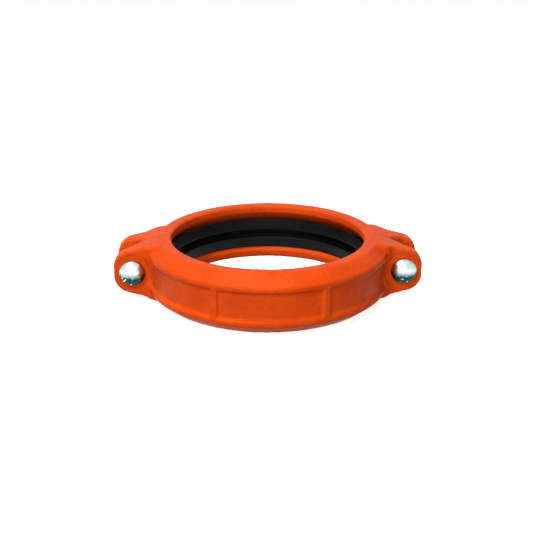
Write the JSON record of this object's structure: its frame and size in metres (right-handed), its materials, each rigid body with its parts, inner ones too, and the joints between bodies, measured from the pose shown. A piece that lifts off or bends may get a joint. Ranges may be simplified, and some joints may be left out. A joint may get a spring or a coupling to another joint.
{
  "type": "grooved pipe coupling",
  "caption": "Split cast housing with bolted ears that keys into the grooves of two pipe ends and holds a rubber C-section gasket over the joint.",
  "frame": {"origin": "centre of the pipe bore, half-way along the housing's width", "axes": "+Z along the pipe, +X towards the right-hand bolt ear, -Y towards the front half that carries the bolt heads; the halves part at Y = 0"},
  "size_m": [0.2558, 0.2028, 0.0494],
  "materials": {
    "orange_paint": "glossy orange paint over sand-cast iron, with the cast grain showing through",
    "black_rubber": "moulded black rubber with a soft sheen",
    "bright_zinc": "bright zinc plating on steel"
  },
  "bodies": {
    "front_half": {"housing_front": "orange_paint", "gasket": "black_rubber", "bolt_left": "bright_zinc", "bolt_right": "bright_zinc"},
    "rear_half": {"housing_rear": "orange_paint"},
    "left_nut": {"nut_left": "bright_zinc"},
    "right_nut": {"nut_right": "bright_zinc"}
  },
  "joints": [
    {"name": "rear_half_slide", "type": "slide", "parent": "front_half", "child": "rear_half", "axis": [0, 1, 0], "range_m": [0, 0.0105]},
    {"name": "nut_left_spin", "type": "hinge", "parent": "rear_half", "child": "left_nut", "pos_m": [-0.1127, 0, 0], "axis": [0, 1, 0], "range_deg": [0, 2160]},
    {"name": "nut_right_spin", "type": "hinge", "parent": "rear_half", "child": "right_nut", "pos_m": [0.1127, 0, 0], "axis": [0, 1, 0], "range_deg": [0, 2160]}
  ],
  "couplings": [
    {"joint": "nut_left_spin", "follows": "rear_half_slide", "rad_per_m": 3590.4},
    {"joint": "nut_right_spin", "follows": "rear_half_slide", "rad_per_m": 3590.4}
  ]
}
